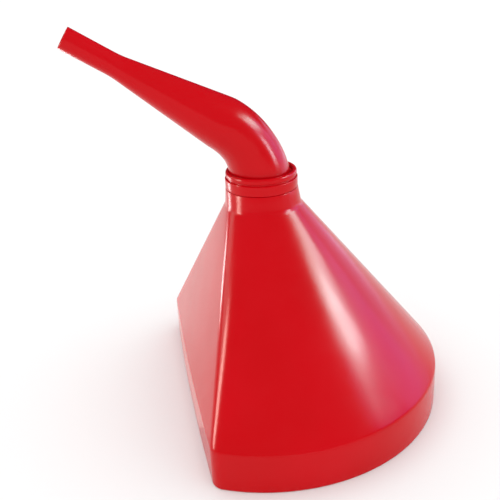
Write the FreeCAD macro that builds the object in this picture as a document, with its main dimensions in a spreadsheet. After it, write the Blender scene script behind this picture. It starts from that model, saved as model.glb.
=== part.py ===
import FreeCAD, Part
import math
import os
import re

import Sketcher

# Offset-spout liquid funnel, standing mouth down on its rim.
# Frame: origin on the neck's axis in the plane of the rim, +Z up through the neck,
# the flat side and the spout face -X. All sizes are in millimetres and degrees.

SIZES = {
    # mouth, skirt and cone
    "mouth_radius": 130.0,
    "corner_radius": 11.2,
    "front_angle": 115.8,
    "flat_angle": 177.9,
    "skirt_height": 30.0,
    "cone_top": 155.0,
    "cone_top_radius": 30.1,
    "cone_top_corner": 25.3,
    "wall": 2.0,
    "knee_drop": 0.7,
    "throat_bottom": 159.9,
    # neck
    "neck_radius": 26.3,
    "neck_foot_corner": 25.6,
    "cone_draft": 38.6,
    "neck_draft": 10.5,
    "flare_radius": 9.0,
    "shoulder_height": 169.3,
    "neck_top": 175.9,
    "neck_bore_radius": 21.2,
    "strainer_pocket_radius": 23.6,
    "strainer_ledge": 165.0,
    # thread between neck and collar
    "thread_root_radius": 23.8,
    "thread_depth": 1.1,
    "thread_pitch": 3.0,
    "thread_turns": 1.35,
    "thread_start": 170.6,
    "thread_root_half": 0.85,
    "thread_crest_half": 0.4,
    "thread_clearance": 0.3,
    "thread_overlap": 0.2,
    # collar
    "collar_bottom": 169.5,
    "collar_top": 182.0,
    "band_radius": 26.3,
    "bead_radius": 25.8,
    "groove_radius": 25.1,
    "groove_height": 177.5,
    "groove_half": 0.35,
    "groove_flank": 0.45,
    "collar_bore_radius": 24.2,
    "lip_hole_radius": 23.0,
    "lip_underside": 179.5,
    "bead_outer_rounding": 1.6,
    "bead_inner_rounding": 1.1,
    "band_rounding": 0.5,
    # washer
    "seal_inner_radius": 21.4,
    "seal_outer_radius": 23.7,
    "seal_thickness": 1.5,
    # spout
    "flange_radius": 23.9,
    "flange_thickness": 2.0,
    "bend_start": 170.1,
    "bend_radius": 57.2,
    "bend_angle": 56.9,
    "bend_base_radius": 21.7,
    "bend_end_radius": 19.2,
    "taper_length": 83.0,
    "tip_length": 36.0,
    "tip_radius": 7.85,
    "spout_base_wall": 1.8,
    "spout_tip_wall": 1.4,
    # strainer
    "strainer_bottom": 161.2,
    "strainer_outer_radius": 23.3,
    "strainer_inner_radius": 20.4,
    "rebate_radius": 22.2,
    "rebate_depth": 0.6,
    "spoke_width": 1.8,
    "spoke_height": 2.0,
    "spoke_count": 4,
    "hub_radius": 4.0,
    "gauze_radius": 22.0,
    "gauze_thickness": 0.4,
}

H_AXIS = -1
V_AXIS = -2
ORIGIN_POINT = (-1, 1)
START, END, CENTRE = 1, 2, 3

doc = FreeCAD.newDocument("funnel")
sheet = doc.addObject("Spreadsheet::Sheet", "sizes")


def fill_sheet():
    """Write every driving dimension to the sheet, one named cell each."""
    for row, (alias, value) in enumerate(SIZES.items(), start=1):
        sheet.set(f"A{row}", alias)
        sheet.set(f"B{row}", str(value))
        sheet.setAlias(f"B{row}", alias)
    doc.recompute()


def bound(text):
    """Turn a formula on plain size names into an expression on the sheet."""
    return re.sub(r"[a-z_]+", lambda word: f"sizes.{word[0]}" if word[0] in SIZES else word[0], text)


def value(text):
    """Evaluate a formula on plain size names."""
    return float(sheet.evalExpression(bound(text)))


def new_body(label):
    """Make an empty body whose label names its file."""
    body = doc.addObject("PartDesign::Body", label)
    body.Label = label
    body.Placement = FreeCAD.Placement()
    return body


def new_sketch(body, name, role, height=None):
    """Attach a sketch to one of the body's origin planes, lifted to a height if one is given."""
    plane = next(item for item in body.Origin.OriginFeatures if item.Role == role)
    sketch = body.newObject("Sketcher::SketchObject", name)
    sketch.AttachmentSupport = [(plane, "")]
    sketch.MapMode = "FlatFace"
    if height is not None:
        sketch.setExpression("AttachmentOffset.Base.z", bound(height))
    return sketch


def tilt_sketch(sketch, axis, base, turn):
    """Move a sketch to a point of its plane's frame and turn it about an axis there."""
    sketch.AttachmentOffset = FreeCAD.Placement(FreeCAD.Vector(), FreeCAD.Rotation(axis, 1))
    for name, formula in base.items():
        sketch.setExpression(f"AttachmentOffset.Base.{name}", bound(formula))
    sketch.setExpression("AttachmentOffset.Rotation.Angle", bound(turn))


def drive(sketch, kind, *arguments, formula):
    """Add a dimension to the sketch and bind it to the sheet."""
    index = sketch.addConstraint(Sketcher.Constraint(kind, *arguments, value(formula)))
    sketch.setExpression(f"Constraints[{index}]", bound(formula))


def pin_point(sketch, geometry, end, point):
    """Place one end of an edge at a point given as two formulas."""
    for kind, axis, formula in zip(("DistanceX", "DistanceY"), (V_AXIS, H_AXIS), point):
        if formula == "0":
            sketch.addConstraint(Sketcher.Constraint("PointOnObject", geometry, end, axis))
        else:
            drive(sketch, kind, *ORIGIN_POINT, geometry, end, formula=formula)


def polygon(sketch, points):
    """Draw a closed outline of straight edges through points given as formulas."""
    spots = [FreeCAD.Vector(value(x), value(y), 0) for x, y in points]
    first = sketch.GeometryCount
    count = len(spots)
    for index in range(count):
        sketch.addGeometry(Part.LineSegment(spots[index], spots[(index + 1) % count]), False)
    for index in range(count):
        following = first + (index + 1) % count
        sketch.addConstraint(Sketcher.Constraint("Coincident", first + index, END, following, START))
        pin_point(sketch, first + index, START, points[index])


def circle(sketch, radius):
    """Draw a circle of a bound radius round the sketch's origin."""
    index = sketch.addGeometry(Part.Circle(FreeCAD.Vector(), FreeCAD.Vector(0, 0, 1), value(radius)), False)
    sketch.addConstraint(Sketcher.Constraint("Coincident", index, CENTRE, *ORIGIN_POINT))
    drive(sketch, "Radius", index, formula=radius)


def d_outline(sketch, front, corner):
    """Draw a circle cut flat on its -X side, as four tangent arcs.

    The arcs always span the same directions, so two outlines of different size join in
    a surface that could be rolled from sheet: a large front arc, two corner arcs and a
    slightly bowed flat side. With front equal to corner the outline is a full circle.
    """
    setback = f"(({front}) - ({corner}))"
    flat = f"({corner} + {setback} * sin(front_angle) / sin(flat_angle))"
    flat_centre = f"({setback} * cos(front_angle) - ({flat} - ({corner})) * cos(flat_angle))"
    corner_x = value(f"{setback} * cos(front_angle)")
    corner_y = value(f"{setback} * sin(front_angle)")
    front_turn = math.radians(value("front_angle"))
    flat_turn = math.radians(value("flat_angle"))
    full_turn = 2 * math.pi
    arcs = [
        (0, 0, front, -front_turn, front_turn),
        (corner_x, corner_y, corner, front_turn, flat_turn),
        (value(flat_centre), 0, flat, flat_turn, full_turn - flat_turn),
        (corner_x, -corner_y, corner, full_turn - flat_turn, full_turn - front_turn),
    ]
    ring = []
    for centre_x, centre_y, radius, start, end in arcs:
        disc = Part.Circle(FreeCAD.Vector(centre_x, centre_y, 0), FreeCAD.Vector(0, 0, 1), value(radius))
        ring.append(sketch.addGeometry(Part.ArcOfCircle(disc, start, end), False))
    for edge, following in zip(ring, ring[1:] + ring[:1]):
        sketch.addConstraint(Sketcher.Constraint("Coincident", edge, END, following, START))
    front_arc, _, flat_arc, _ = ring
    pin_point(sketch, front_arc, END, (f"({front}) * cos(front_angle)", f"({front}) * sin(front_angle)"))
    pin_point(sketch, flat_arc, START, (f"{flat_centre} + {flat} * cos(flat_angle)",
                                        f"{flat} * sin(flat_angle)"))
    for edge in (front_arc, flat_arc):
        sketch.addConstraint(Sketcher.Constraint("Symmetric", edge, START, edge, END, H_AXIS))
    for edge, (_, _, radius, _, _) in zip(ring, arcs):
        drive(sketch, "Radius", edge, formula=radius)


def pad(body, name, sketch, length):
    """Extrude a sketch upwards by a bound length."""
    feature = body.newObject("PartDesign::Pad", name)
    feature.Profile = sketch
    feature.setExpression("Length", bound(length))
    return feature


def pocket(body, name, sketch, depth, upwards=True):
    """Cut a sketch out of the body by a bound depth."""
    feature = body.newObject("PartDesign::Pocket", name)
    feature.Profile = sketch
    feature.Reversed = upwards
    feature.setExpression("Length", bound(depth))
    return feature


def turned(body, kind, name, sketch, axis="V_Axis"):
    """Revolve or groove a sketch all the way round one of its axes."""
    feature = body.newObject(f"PartDesign::{kind}", name)
    feature.Profile = sketch
    feature.ReferenceAxis = (sketch, [axis])
    feature.Angle = 360
    return feature


def loft(body, kind, name, sections, ruled):
    """Join outlines into a solid, or cut that solid away."""
    feature = body.newObject(f"PartDesign::{kind}", name)
    feature.Profile = sections[0]
    feature.Sections = sections[1:]
    feature.Ruled = ruled
    return feature


def helix(body, kind, name, sketch, height):
    """Wind a thread profile round the neck's axis, right-handed and upwards."""
    feature = body.newObject(f"PartDesign::{kind}", name)
    feature.Profile = sketch
    feature.ReferenceAxis = (sketch, ["V_Axis"])
    feature.Mode = "pitch-height-angle"
    feature.setExpression("Pitch", bound("thread_pitch"))
    feature.setExpression("Height", bound(height))
    return feature


def round_edges(body, name, rounding, spots):
    """Round the circular edges that lie at the given radius and height formulas."""
    doc.recompute()
    base = body.Tip
    wanted = [(value(radius), value(height)) for radius, height in spots]
    tolerance = 0.01
    edges = []
    for index, edge in enumerate(base.Shape.Edges, start=1):
        box = edge.BoundBox
        flat = abs(box.ZMax - box.ZMin) < tolerance
        for radius, height in wanted:
            if flat and abs(box.ZMax - height) < tolerance and abs(box.XMax - radius) < tolerance:
                edges.append(f"Edge{index}")
    feature = body.newObject("PartDesign::Fillet", name)
    feature.Base = (base, edges)
    feature.setExpression("Radius", bound(rounding))
    return feature


def funnel_body():
    """Mould the skirt, cone, flared neck and neck thread as one hollow shell."""
    body = new_body("funnel_body")

    skirt = new_sketch(body, "skirt_outline", "XY_Plane")
    d_outline(skirt, "mouth_radius", "corner_radius")
    pad(body, "skirt", skirt, "skirt_height")

    cone_foot = new_sketch(body, "cone_foot", "XY_Plane", "skirt_height")
    d_outline(cone_foot, "mouth_radius", "corner_radius")
    cone_head = new_sketch(body, "cone_head", "XY_Plane", "cone_top")
    d_outline(cone_head, "cone_top_radius", "cone_top_corner")
    loft(body, "AdditiveLoft", "cone", [cone_foot, cone_head], ruled=True)

    # a fillet in the hollow between cone and neck, from the cone's draft to the neck's
    flare = []
    steps = 4
    for step in range(steps + 1):
        draft = f"(cone_draft + (neck_draft - cone_draft) * {step} / {steps})"
        section = new_sketch(body, f"flare_{step}", "XY_Plane",
                             f"cone_top + flare_radius * (sin(cone_draft) - sin({draft}))")
        d_outline(section, f"(cone_top_radius - flare_radius * (cos({draft}) - cos(cone_draft)))",
                  f"(cone_top_corner + (neck_foot_corner - cone_top_corner) * {step} / {steps})")
        flare.append(section)
    loft(body, "AdditiveLoft", "neck_flare", flare, ruled=False)

    neck_foot = new_sketch(body, "neck_foot", "XY_Plane",
                           "cone_top + flare_radius * (sin(cone_draft) - sin(neck_draft))")
    d_outline(neck_foot, "(cone_top_radius - flare_radius * (cos(neck_draft) - cos(cone_draft)))",
              "neck_foot_corner")
    neck_head = new_sketch(body, "neck_head", "XY_Plane", "shoulder_height")
    d_outline(neck_head, "neck_radius", "neck_radius")
    loft(body, "AdditiveLoft", "neck", [neck_foot, neck_head], ruled=True)

    neck_end = new_sketch(body, "neck_end_outline", "XY_Plane", "shoulder_height")
    circle(neck_end, "thread_root_radius")
    pad(body, "neck_end", neck_end, "neck_top - shoulder_height")

    inner_foot = new_sketch(body, "inner_foot", "XY_Plane", "skirt_height - knee_drop")
    d_outline(inner_foot, "mouth_radius - wall", "corner_radius - wall")
    inner_head = new_sketch(body, "inner_head", "XY_Plane", "throat_bottom")
    d_outline(inner_head, "strainer_pocket_radius", "strainer_pocket_radius")
    loft(body, "SubtractiveLoft", "cone_hollow", [inner_foot, inner_head], ruled=True)

    inner_skirt = new_sketch(body, "inner_skirt", "XY_Plane")
    d_outline(inner_skirt, "mouth_radius - wall", "corner_radius - wall")
    pocket(body, "skirt_hollow", inner_skirt, "skirt_height - knee_drop")

    bore = new_sketch(body, "bore_profile", "XZ_Plane")
    polygon(bore, [
        ("0", "throat_bottom"),
        ("strainer_pocket_radius", "throat_bottom"),
        ("strainer_pocket_radius", "strainer_ledge"),
        ("neck_bore_radius", "strainer_ledge"),
        ("neck_bore_radius", "neck_top"),
        ("0", "neck_top"),
    ])
    turned(body, "Groove", "neck_bore", bore)

    thread = new_sketch(body, "thread_profile", "XZ_Plane")
    polygon(thread, thread_points("thread_root_radius - thread_overlap",
                                  "thread_root_radius + thread_depth",
                                  "thread_start", "0"))
    helix(body, "AdditiveHelix", "neck_thread", thread, "thread_pitch * thread_turns")
    return body


def thread_points(inner, outer, height, margin):
    """Corners of the thread's section, with a margin added all round its flanks."""
    return [
        (inner, f"{height} - thread_root_half - ({margin})"),
        (outer, f"{height} - thread_crest_half - ({margin})"),
        (outer, f"{height} + thread_crest_half + ({margin})"),
        (inner, f"{height} + thread_root_half + ({margin})"),
    ]


def spout_collar():
    """Turn the union nut with its bead, groove and band, and cut its thread."""
    body = new_body("spout_collar")
    profile = new_sketch(body, "collar_profile", "XZ_Plane")
    polygon(profile, [
        ("collar_bore_radius", "collar_bottom"),
        ("band_radius", "collar_bottom"),
        ("band_radius", "groove_height - groove_half - groove_flank"),
        ("groove_radius", "groove_height - groove_half"),
        ("groove_radius", "groove_height + groove_half"),
        ("bead_radius", "groove_height + groove_half + groove_flank"),
        ("bead_radius", "collar_top"),
        ("lip_hole_radius", "collar_top"),
        ("lip_hole_radius", "lip_underside"),
        ("collar_bore_radius", "lip_underside"),
    ])
    turned(body, "Revolution", "nut", profile)
    round_edges(body, "bead_outer", "bead_outer_rounding", [("bead_radius", "collar_top")])
    round_edges(body, "bead_inner", "bead_inner_rounding", [("lip_hole_radius", "collar_top")])
    round_edges(body, "band_edge", "band_rounding", [("band_radius", "collar_bottom")])
    thread = new_sketch(body, "thread_profile", "XZ_Plane")
    polygon(thread, thread_points("collar_bore_radius - thread_overlap",
                                  "thread_root_radius + thread_depth + thread_clearance",
                                  "thread_start - thread_pitch", "thread_clearance"))
    helix(body, "SubtractiveHelix", "nut_thread", thread,
          "thread_pitch * (thread_turns + 1) + thread_clearance")
    return body


def spout_seal():
    """Cut the flat washer that the flange presses on the neck."""
    body = new_body("spout_seal")
    ring = new_sketch(body, "washer_outline", "XY_Plane", "neck_top")
    circle(ring, "seal_outer_radius")
    circle(ring, "seal_inner_radius")
    pad(body, "washer", ring, "seal_thickness")
    return body


def bend_sections(body, name, inset):
    """Circles square to the spout's axis along its bend, each an inset inside its outer wall."""
    steps = 6
    sections = []
    for step in range(steps + 1):
        turn = f"bend_angle * {step} / {steps}"
        radius = f"bend_base_radius + (bend_end_radius - bend_base_radius) * {step} / {steps} - ({inset})"
        sketch = new_sketch(body, f"{name}_{step}", "XY_Plane")
        tilt_sketch(sketch, FreeCAD.Vector(0, -1, 0), {
            "x": f"-bend_radius * (1 - cos({turn}))",
            "z": f"bend_start + bend_radius * sin({turn})",
        }, turn)
        circle(sketch, radius)
        sections.append(sketch)
    return sections


def spout():
    """Mould the bent outlet tube: flange, bend, taper and straight tip."""
    body = new_body("spout")
    loft(body, "AdditiveLoft", "bend", bend_sections(body, "bend_outer", "0"), ruled=False)

    flange_bottom = "neck_top + seal_thickness"
    flange = new_sketch(body, "flange_outline", "XY_Plane", flange_bottom)
    circle(flange, "flange_radius")
    pad(body, "flange", flange, "flange_thickness")

    loft(body, "SubtractiveLoft", "bend_hollow",
         bend_sections(body, "bend_inner", "spout_base_wall"), ruled=False)

    tube = new_sketch(body, "taper_profile", "XZ_Plane")
    tilt_sketch(tube, FreeCAD.Vector(0, 0, 1), {
        "x": "-bend_radius * (1 - cos(bend_angle))",
        "y": "bend_start + bend_radius * sin(bend_angle)",
    }, "bend_angle")
    polygon(tube, [
        ("bend_end_radius - spout_base_wall", "0"),
        ("bend_end_radius", "0"),
        ("tip_radius", "taper_length"),
        ("tip_radius", "taper_length + tip_length"),
        ("tip_radius - spout_tip_wall", "taper_length + tip_length"),
        ("tip_radius - spout_tip_wall", "taper_length"),
    ])
    turned(body, "Revolution", "taper_and_tip", tube)

    below = new_sketch(body, "below_flange", "XY_Plane", flange_bottom)
    circle(below, "flange_radius + bend_base_radius")
    pocket(body, "trim_below_flange", below, "bend_radius", upwards=False)
    return body


def strainer_frame():
    """Turn the strainer's ring with its gauze rebate, and add a hub on spokes."""
    body = new_body("strainer_frame")
    profile = new_sketch(body, "ring_profile", "XZ_Plane")
    polygon(profile, [
        ("strainer_inner_radius", "strainer_bottom"),
        ("strainer_outer_radius", "strainer_bottom"),
        ("strainer_outer_radius", "strainer_ledge"),
        ("rebate_radius", "strainer_ledge"),
        ("rebate_radius", "strainer_ledge - rebate_depth"),
        ("strainer_inner_radius", "strainer_ledge - rebate_depth"),
    ])
    turned(body, "Revolution", "ring", profile)

    spoke = new_sketch(body, "spoke_outline", "XY_Plane", "strainer_bottom")
    reach = "(strainer_inner_radius + strainer_outer_radius) / 2"
    polygon(spoke, [
        ("0", "-spoke_width / 2"),
        (reach, "-spoke_width / 2"),
        (reach, "spoke_width / 2"),
        ("0", "spoke_width / 2"),
    ])
    arm = pad(body, "spoke", spoke, "spoke_height")
    doc.recompute()
    spokes = body.newObject("PartDesign::PolarPattern", "spokes")
    spokes.Originals = [arm]
    spokes.Axis = (spoke, ["N_Axis"])
    spokes.Angle = 360
    spokes.setExpression("Occurrences", bound("spoke_count"))
    body.Tip = spokes

    hub = new_sketch(body, "hub_outline", "XY_Plane", "strainer_bottom")
    circle(hub, "hub_radius")
    pad(body, "hub", hub, "spoke_height")
    return body


def strainer_gauze():
    """Cut the gauze disc that lies in the strainer's rebate."""
    body = new_body("strainer_gauze")
    disc = new_sketch(body, "gauze_outline", "XY_Plane", "strainer_ledge - rebate_depth")
    circle(disc, "gauze_radius")
    pad(body, "gauze", disc, "gauze_thickness")
    return body


def check_document(bodies):
    """Stop on any failed feature or any shape that is not a valid solid."""
    for item in doc.Objects:
        if "Invalid" in item.State or "Error" in item.State:
            raise RuntimeError(f"{item.Label} failed: {item.State}")
    for body in bodies:
        if body.Shape.isNull() or not body.Shape.isValid() or not body.Shape.Solids:
            raise RuntimeError(f"{body.Label} has no valid solid")
        box = body.Shape.optimalBoundingBox(True, False)
        print(f"{body.Label}: {len(body.Shape.Solids)} solid, {body.Shape.Volume / 1000:.2f} cm3, "
              f"x {box.XMin:.2f} {box.XMax:.2f} y {box.YMin:.2f} {box.YMax:.2f} "
              f"z {box.ZMin:.2f} {box.ZMax:.2f}")


def main():
    """Build every piece and write its file."""
    fill_sheet()
    bodies = [
        funnel_body(),
        spout(),
        spout_collar(),
        spout_seal(),
        strainer_frame(),
        strainer_gauze(),
    ]
    doc.recompute()
    check_document(bodies)
    os.makedirs("parts", exist_ok=True)
    for body in bodies:
        body.Shape.exportStep(f"parts/{body.Label}.step")


main()
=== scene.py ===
"""Offset-spout liquid funnel: the visual model over its CAD frame, with its studio."""
import logging
import math
from dataclasses import dataclass, field
from enum import Enum
from typing import Any, Iterable

import bmesh
import bpy
from mathutils import Euler, Matrix, Vector


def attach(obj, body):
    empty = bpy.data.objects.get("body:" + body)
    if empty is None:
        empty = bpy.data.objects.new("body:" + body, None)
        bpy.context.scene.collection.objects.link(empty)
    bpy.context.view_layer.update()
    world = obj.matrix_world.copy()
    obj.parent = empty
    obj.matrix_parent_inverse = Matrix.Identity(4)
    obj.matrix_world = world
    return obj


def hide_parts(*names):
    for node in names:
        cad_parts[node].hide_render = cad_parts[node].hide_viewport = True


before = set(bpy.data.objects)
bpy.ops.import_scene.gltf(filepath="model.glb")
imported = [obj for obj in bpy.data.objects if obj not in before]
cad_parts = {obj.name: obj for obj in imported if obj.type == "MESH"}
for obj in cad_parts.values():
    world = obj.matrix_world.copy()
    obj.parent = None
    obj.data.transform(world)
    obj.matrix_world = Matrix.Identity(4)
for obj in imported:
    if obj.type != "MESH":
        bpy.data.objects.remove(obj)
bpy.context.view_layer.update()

MM = 0.001
TURN = 2 * math.pi
WELD = 2e-6
SHARP_ANGLE = math.radians(33)
STRAIGHT_ANGLE = math.radians(89.9)
ROUNDING_SHARE = 0.48
LONGEST_EDGE = 6.0

# Faces along a wall's front arc, each of its corners and its flat side.
ROUND = (148, 40, 3)
FLAT_SIDED = (132, 22, 30)

log = logging.getLogger("funnel")


class Slot(Enum):
    """Material slots of the record that the pieces take their finish from."""

    RED = "red_plastic"
    BLACK = "black_plastic"
    RUBBER = "seal_rubber"
    BRASS = "gauze_brass"


class Wire:
    """A node's output that takes part in sums as a number does."""

    def __init__(self, graph: "Graph", socket: bpy.types.NodeSocket) -> None:
        """Wrap a socket.

        Args:
            graph: The graph that the socket's node is in.
            socket: The output socket.
        """
        self.graph = graph
        self.socket = socket

    def __add__(self, other: "Wire | float") -> "Wire":
        """Add."""
        return self.graph.math("ADD", self, other)

    def __radd__(self, other: float) -> "Wire":
        """Add to a number."""
        return self.graph.math("ADD", other, self)

    def __sub__(self, other: "Wire | float") -> "Wire":
        """Subtract."""
        return self.graph.math("SUBTRACT", self, other)

    def __rsub__(self, other: float) -> "Wire":
        """Subtract from a number."""
        return self.graph.math("SUBTRACT", other, self)

    def __mul__(self, other: "Wire | float") -> "Wire":
        """Multiply."""
        return self.graph.math("MULTIPLY", self, other)

    def __rmul__(self, other: float) -> "Wire":
        """Multiply a number."""
        return self.graph.math("MULTIPLY", other, self)

    def __truediv__(self, other: "Wire | float") -> "Wire":
        """Divide."""
        return self.graph.math("DIVIDE", self, other)

    def __rtruediv__(self, other: float) -> "Wire":
        """Divide a number."""
        return self.graph.math("DIVIDE", other, self)


class Graph:
    """Builds a node tree, node by node."""

    def __init__(self, tree: bpy.types.NodeTree) -> None:
        """Wrap a tree.

        Args:
            tree: The tree that takes the nodes.
        """
        self.tree = tree

    def add(self, kind: str, settings: dict[str, Any] | None = None,
            inputs: dict[str | int, Any] | None = None) -> bpy.types.Node:
        """Add one node.

        Args:
            kind: The node's type name.
            settings: Properties to set on the node.
            inputs: Values or wires for its inputs, by name or number.

        Returns:
            The new node.
        """
        node = self.tree.nodes.new(kind)
        for name, value in (settings or {}).items():
            setattr(node, name, value)
        for key, value in (inputs or {}).items():
            if isinstance(value, Wire):
                self.tree.links.new(value.socket, node.inputs[key])
            else:
                node.inputs[key].default_value = value
        return node

    def out(self, kind: str, settings: dict[str, Any] | None = None,
            inputs: dict[str | int, Any] | None = None, output: str | int = 0) -> Wire:
        """Add one node and take one of its outputs.

        Args:
            kind: The node's type name.
            settings: Properties to set on the node.
            inputs: Values or wires for its inputs, by name or number.
            output: Name or number of the output.

        Returns:
            The output.
        """
        return Wire(self, self.add(kind, settings, inputs).outputs[output])

    def math(self, operation: str, *values: Wire | float) -> Wire:
        """Combine numbers with one operation of the Math node."""
        return self.out("ShaderNodeMath", {"operation": operation}, dict(enumerate(values)))

    def clamped(self, value: Wire) -> Wire:
        """Limit a number to the range from 0 to 1."""
        return self.out("ShaderNodeMath", {"operation": "ADD", "use_clamp": True}, {0: value, 1: 0.0})

    def smooth(self, value: Wire) -> Wire:
        """Ease a number from 0 to 1."""
        share = self.clamped(value)
        return share * share * (3.0 - 2.0 * share)

    def point(self, x: Wire | float, y: Wire | float, z: Wire | float) -> Wire:
        """Join three numbers into a vector."""
        return self.out("ShaderNodeCombineXYZ", None, {0: x, 1: y, 2: z})

    def parts(self, vector: Wire) -> tuple[Wire, Wire, Wire]:
        """Split a vector into its three numbers."""
        node = self.add("ShaderNodeSeparateXYZ", None, {0: vector})
        return tuple(Wire(self, socket) for socket in node.outputs[:3])


class Rule(Graph):
    """A geometry-node tree with named inputs, run once to make a plain mesh."""

    def __init__(self, name: str, numbers: dict[str, float], counts: dict[str, int] | None = None) -> None:
        """Open the tree with its inputs.

        Args:
            name: Name of the tree.
            numbers: Named lengths, angles and factors with their defaults.
            counts: Named whole numbers with their defaults.
        """
        super().__init__(bpy.data.node_groups.new(name, "GeometryNodeTree"))
        sockets = self.tree.interface
        sockets.new_socket("Geometry", in_out="OUTPUT", socket_type="NodeSocketGeometry")
        sockets.new_socket("Geometry", in_out="INPUT", socket_type="NodeSocketGeometry")
        sockets.new_socket("Material", in_out="INPUT", socket_type="NodeSocketMaterial")
        for label, default in numbers.items():
            sockets.new_socket(label, in_out="INPUT", socket_type="NodeSocketFloat").default_value = default
        for label, default in (counts or {}).items():
            sockets.new_socket(label, in_out="INPUT", socket_type="NodeSocketInt").default_value = default
        self.source = self.add("NodeGroupInput")
        self.index = self.out("GeometryNodeInputIndex")

    def given(self, name: str) -> Wire:
        """Take one of the tree's own inputs."""
        return Wire(self, self.source.outputs[name])

    def cosine(self, angle: Wire | float) -> Wire:
        """Cosine of an angle in radians."""
        return self.math("COSINE", angle)

    def sine(self, angle: Wire | float) -> Wire:
        """Sine of an angle in radians."""
        return self.math("SINE", angle)

    def lattice(self, columns: Wire) -> tuple[Wire, Wire, Wire]:
        """Lay a lattice with one row for each point of the incoming closed outline.

        The last row and the last column repeat the first, so that welding closes both ways.

        Args:
            columns: Number of faces in a row.

        Returns:
            The lattice, the number of each vertex's column, and the outline point of its row.
        """
        size = self.add("GeometryNodeAttributeDomainSize", {"component": "MESH"},
                        {"Geometry": self.given("Geometry")})
        rows = Wire(self, size.outputs["Point Count"])
        across = columns + 1.0
        mesh = self.out("GeometryNodeMeshGrid", None, {
            "Size X": 1.0, "Size Y": 1.0, "Vertices X": rows + 1.0, "Vertices Y": across}, "Mesh")
        row = self.math("FLOOR", (self.index + 0.5) / across)
        column = self.index - row * across
        outline = self.out("GeometryNodeSampleIndex", {"data_type": "FLOAT_VECTOR", "domain": "POINT"}, {
            "Geometry": self.given("Geometry"),
            "Value": self.out("GeometryNodeInputPosition"),
            "Index": self.math("MODULO", row, rows)}, "Value")
        return mesh, column, outline

    def placed(self, mesh: Wire, position: Wire) -> Wire:
        """Move a mesh's points to their places."""
        return self.out("GeometryNodeSetPosition", None, {"Geometry": mesh, "Position": position})

    def close(self, geometry: Wire) -> None:
        """Weld, realize and paint the geometry, and send it out of the tree.

        Args:
            geometry: The finished geometry.
        """
        real = self.out("GeometryNodeRealizeInstances", None, {"Geometry": geometry})
        welded = self.out("GeometryNodeMergeByDistance", None, {"Geometry": real, "Distance": WELD})
        painted = self.out("GeometryNodeSetMaterial", None, {
            "Geometry": welded, "Material": self.given("Material")})
        self.add("NodeGroupOutput", None, {0: painted})

    def run(self, name: str, outline: Iterable[Vector], values: dict[str, Any]) -> bpy.types.Mesh:
        """Run the tree on an outline.

        Args:
            name: Name of the mesh.
            outline: Points that the tree reads, in millimetres.
            values: Values for the tree's inputs, by name.

        Returns:
            The plain mesh that the tree makes.
        """
        base = bpy.data.meshes.new(name)
        base.from_pydata([point * MM for point in outline], [], [])
        holder = bpy.data.objects.new(name, base)
        bpy.context.scene.collection.objects.link(holder)
        modifier = holder.modifiers.new(name, "NODES")
        modifier.node_group = self.tree
        for item in self.tree.interface.items_tree:
            if item.in_out == "INPUT" and item.name in values:
                modifier[item.identifier] = values[item.name]
        graph = bpy.context.evaluated_depsgraph_get()
        mesh = bpy.data.meshes.new_from_object(holder.evaluated_get(graph), depsgraph=graph)
        bpy.data.objects.remove(holder)
        return mesh


def wall_rule() -> Rule:
    """Make the rule for walls that run round an axis and may be cut flat on their -X side.

    Each outline point gives (front radius, corner radius, height). The columns run over a
    front arc, a corner, a bowed flat side and a second corner, all tangent to each other.

    Returns:
        The rule.
    """
    rule = Rule("wall_round_an_axis", {"Front Angle": 2.0, "Flat Angle": 3.1},
                {"Front Columns": 96, "Corner Columns": 14, "Flat Columns": 24})
    front, corner, flat = (rule.given(f"{name} Columns") for name in ("Front", "Corner", "Flat"))
    front_angle, flat_angle = rule.given("Front Angle"), rule.given("Flat Angle")
    mesh, column, outline = rule.lattice(front + 2.0 * corner + flat)
    radius, corner_radius, height = rule.parts(outline)
    along_front = rule.clamped(column / front)
    along_corner = rule.clamped((column - front) / corner)
    along_flat = rule.clamped((column - front - corner) / flat)
    along_return = rule.clamped((column - front - corner - flat) / corner)
    corner_span, flat_span = flat_angle - front_angle, TURN - 2.0 * flat_angle
    swing = 2.0 * front_angle * along_front - front_angle
    normal = swing + corner_span * (along_corner + along_return) + flat_span * along_flat
    on_flat = flat_angle + flat_span * along_flat
    setback = radius - corner_radius
    bow = setback * rule.sine(front_angle) / rule.sine(flat_angle)
    x = (setback * rule.cosine(swing) + corner_radius * rule.cosine(normal)
         + bow * (rule.cosine(on_flat) - rule.cosine(flat_angle)))
    y = (setback * rule.sine(swing) + corner_radius * rule.sine(normal)
         + bow * (rule.sine(on_flat) - rule.sine(flat_angle)))
    rule.close(rule.placed(mesh, rule.point(x, y, height)))
    return rule


def bent_tube_rule() -> Rule:
    """Make the rule for a round tube that leaves a level plane, bends towards -X and runs on straight.

    Each outline point gives (radius, lift above the plane, distance along the bent axis).

    Returns:
        The rule.
    """
    rule = Rule("bent_tube", {"Bend Start": 0.17, "Bend Radius": 0.06, "Bend Angle": 1.0,
                              "Foot Height": 0.178}, {"Columns": 96})
    columns, reach = rule.given("Columns"), rule.given("Bend Radius")
    mesh, column, outline = rule.lattice(columns)
    radius, lift, distance = rule.parts(outline)
    around = column * (TURN / columns)
    sideways = radius * rule.cosine(around)
    rise = rule.given("Foot Height") - rule.given("Bend Start") + lift
    foot_turn = rule.math("ARCSINE", rise / (reach + sideways))
    bend_length = reach * rule.given("Bend Angle")
    share = rule.clamped(distance / bend_length)
    turn = foot_turn + (rule.given("Bend Angle") - foot_turn) * share
    beyond = rule.math("MAXIMUM", distance - bend_length, 0.0)
    x = (reach + sideways) * rule.cosine(turn) - reach - beyond * rule.sine(turn)
    z = (reach + sideways) * rule.sine(turn) + rule.given("Bend Start") + beyond * rule.cosine(turn)
    rule.close(rule.placed(mesh, rule.point(x, radius * rule.sine(around), z)))
    return rule


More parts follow.
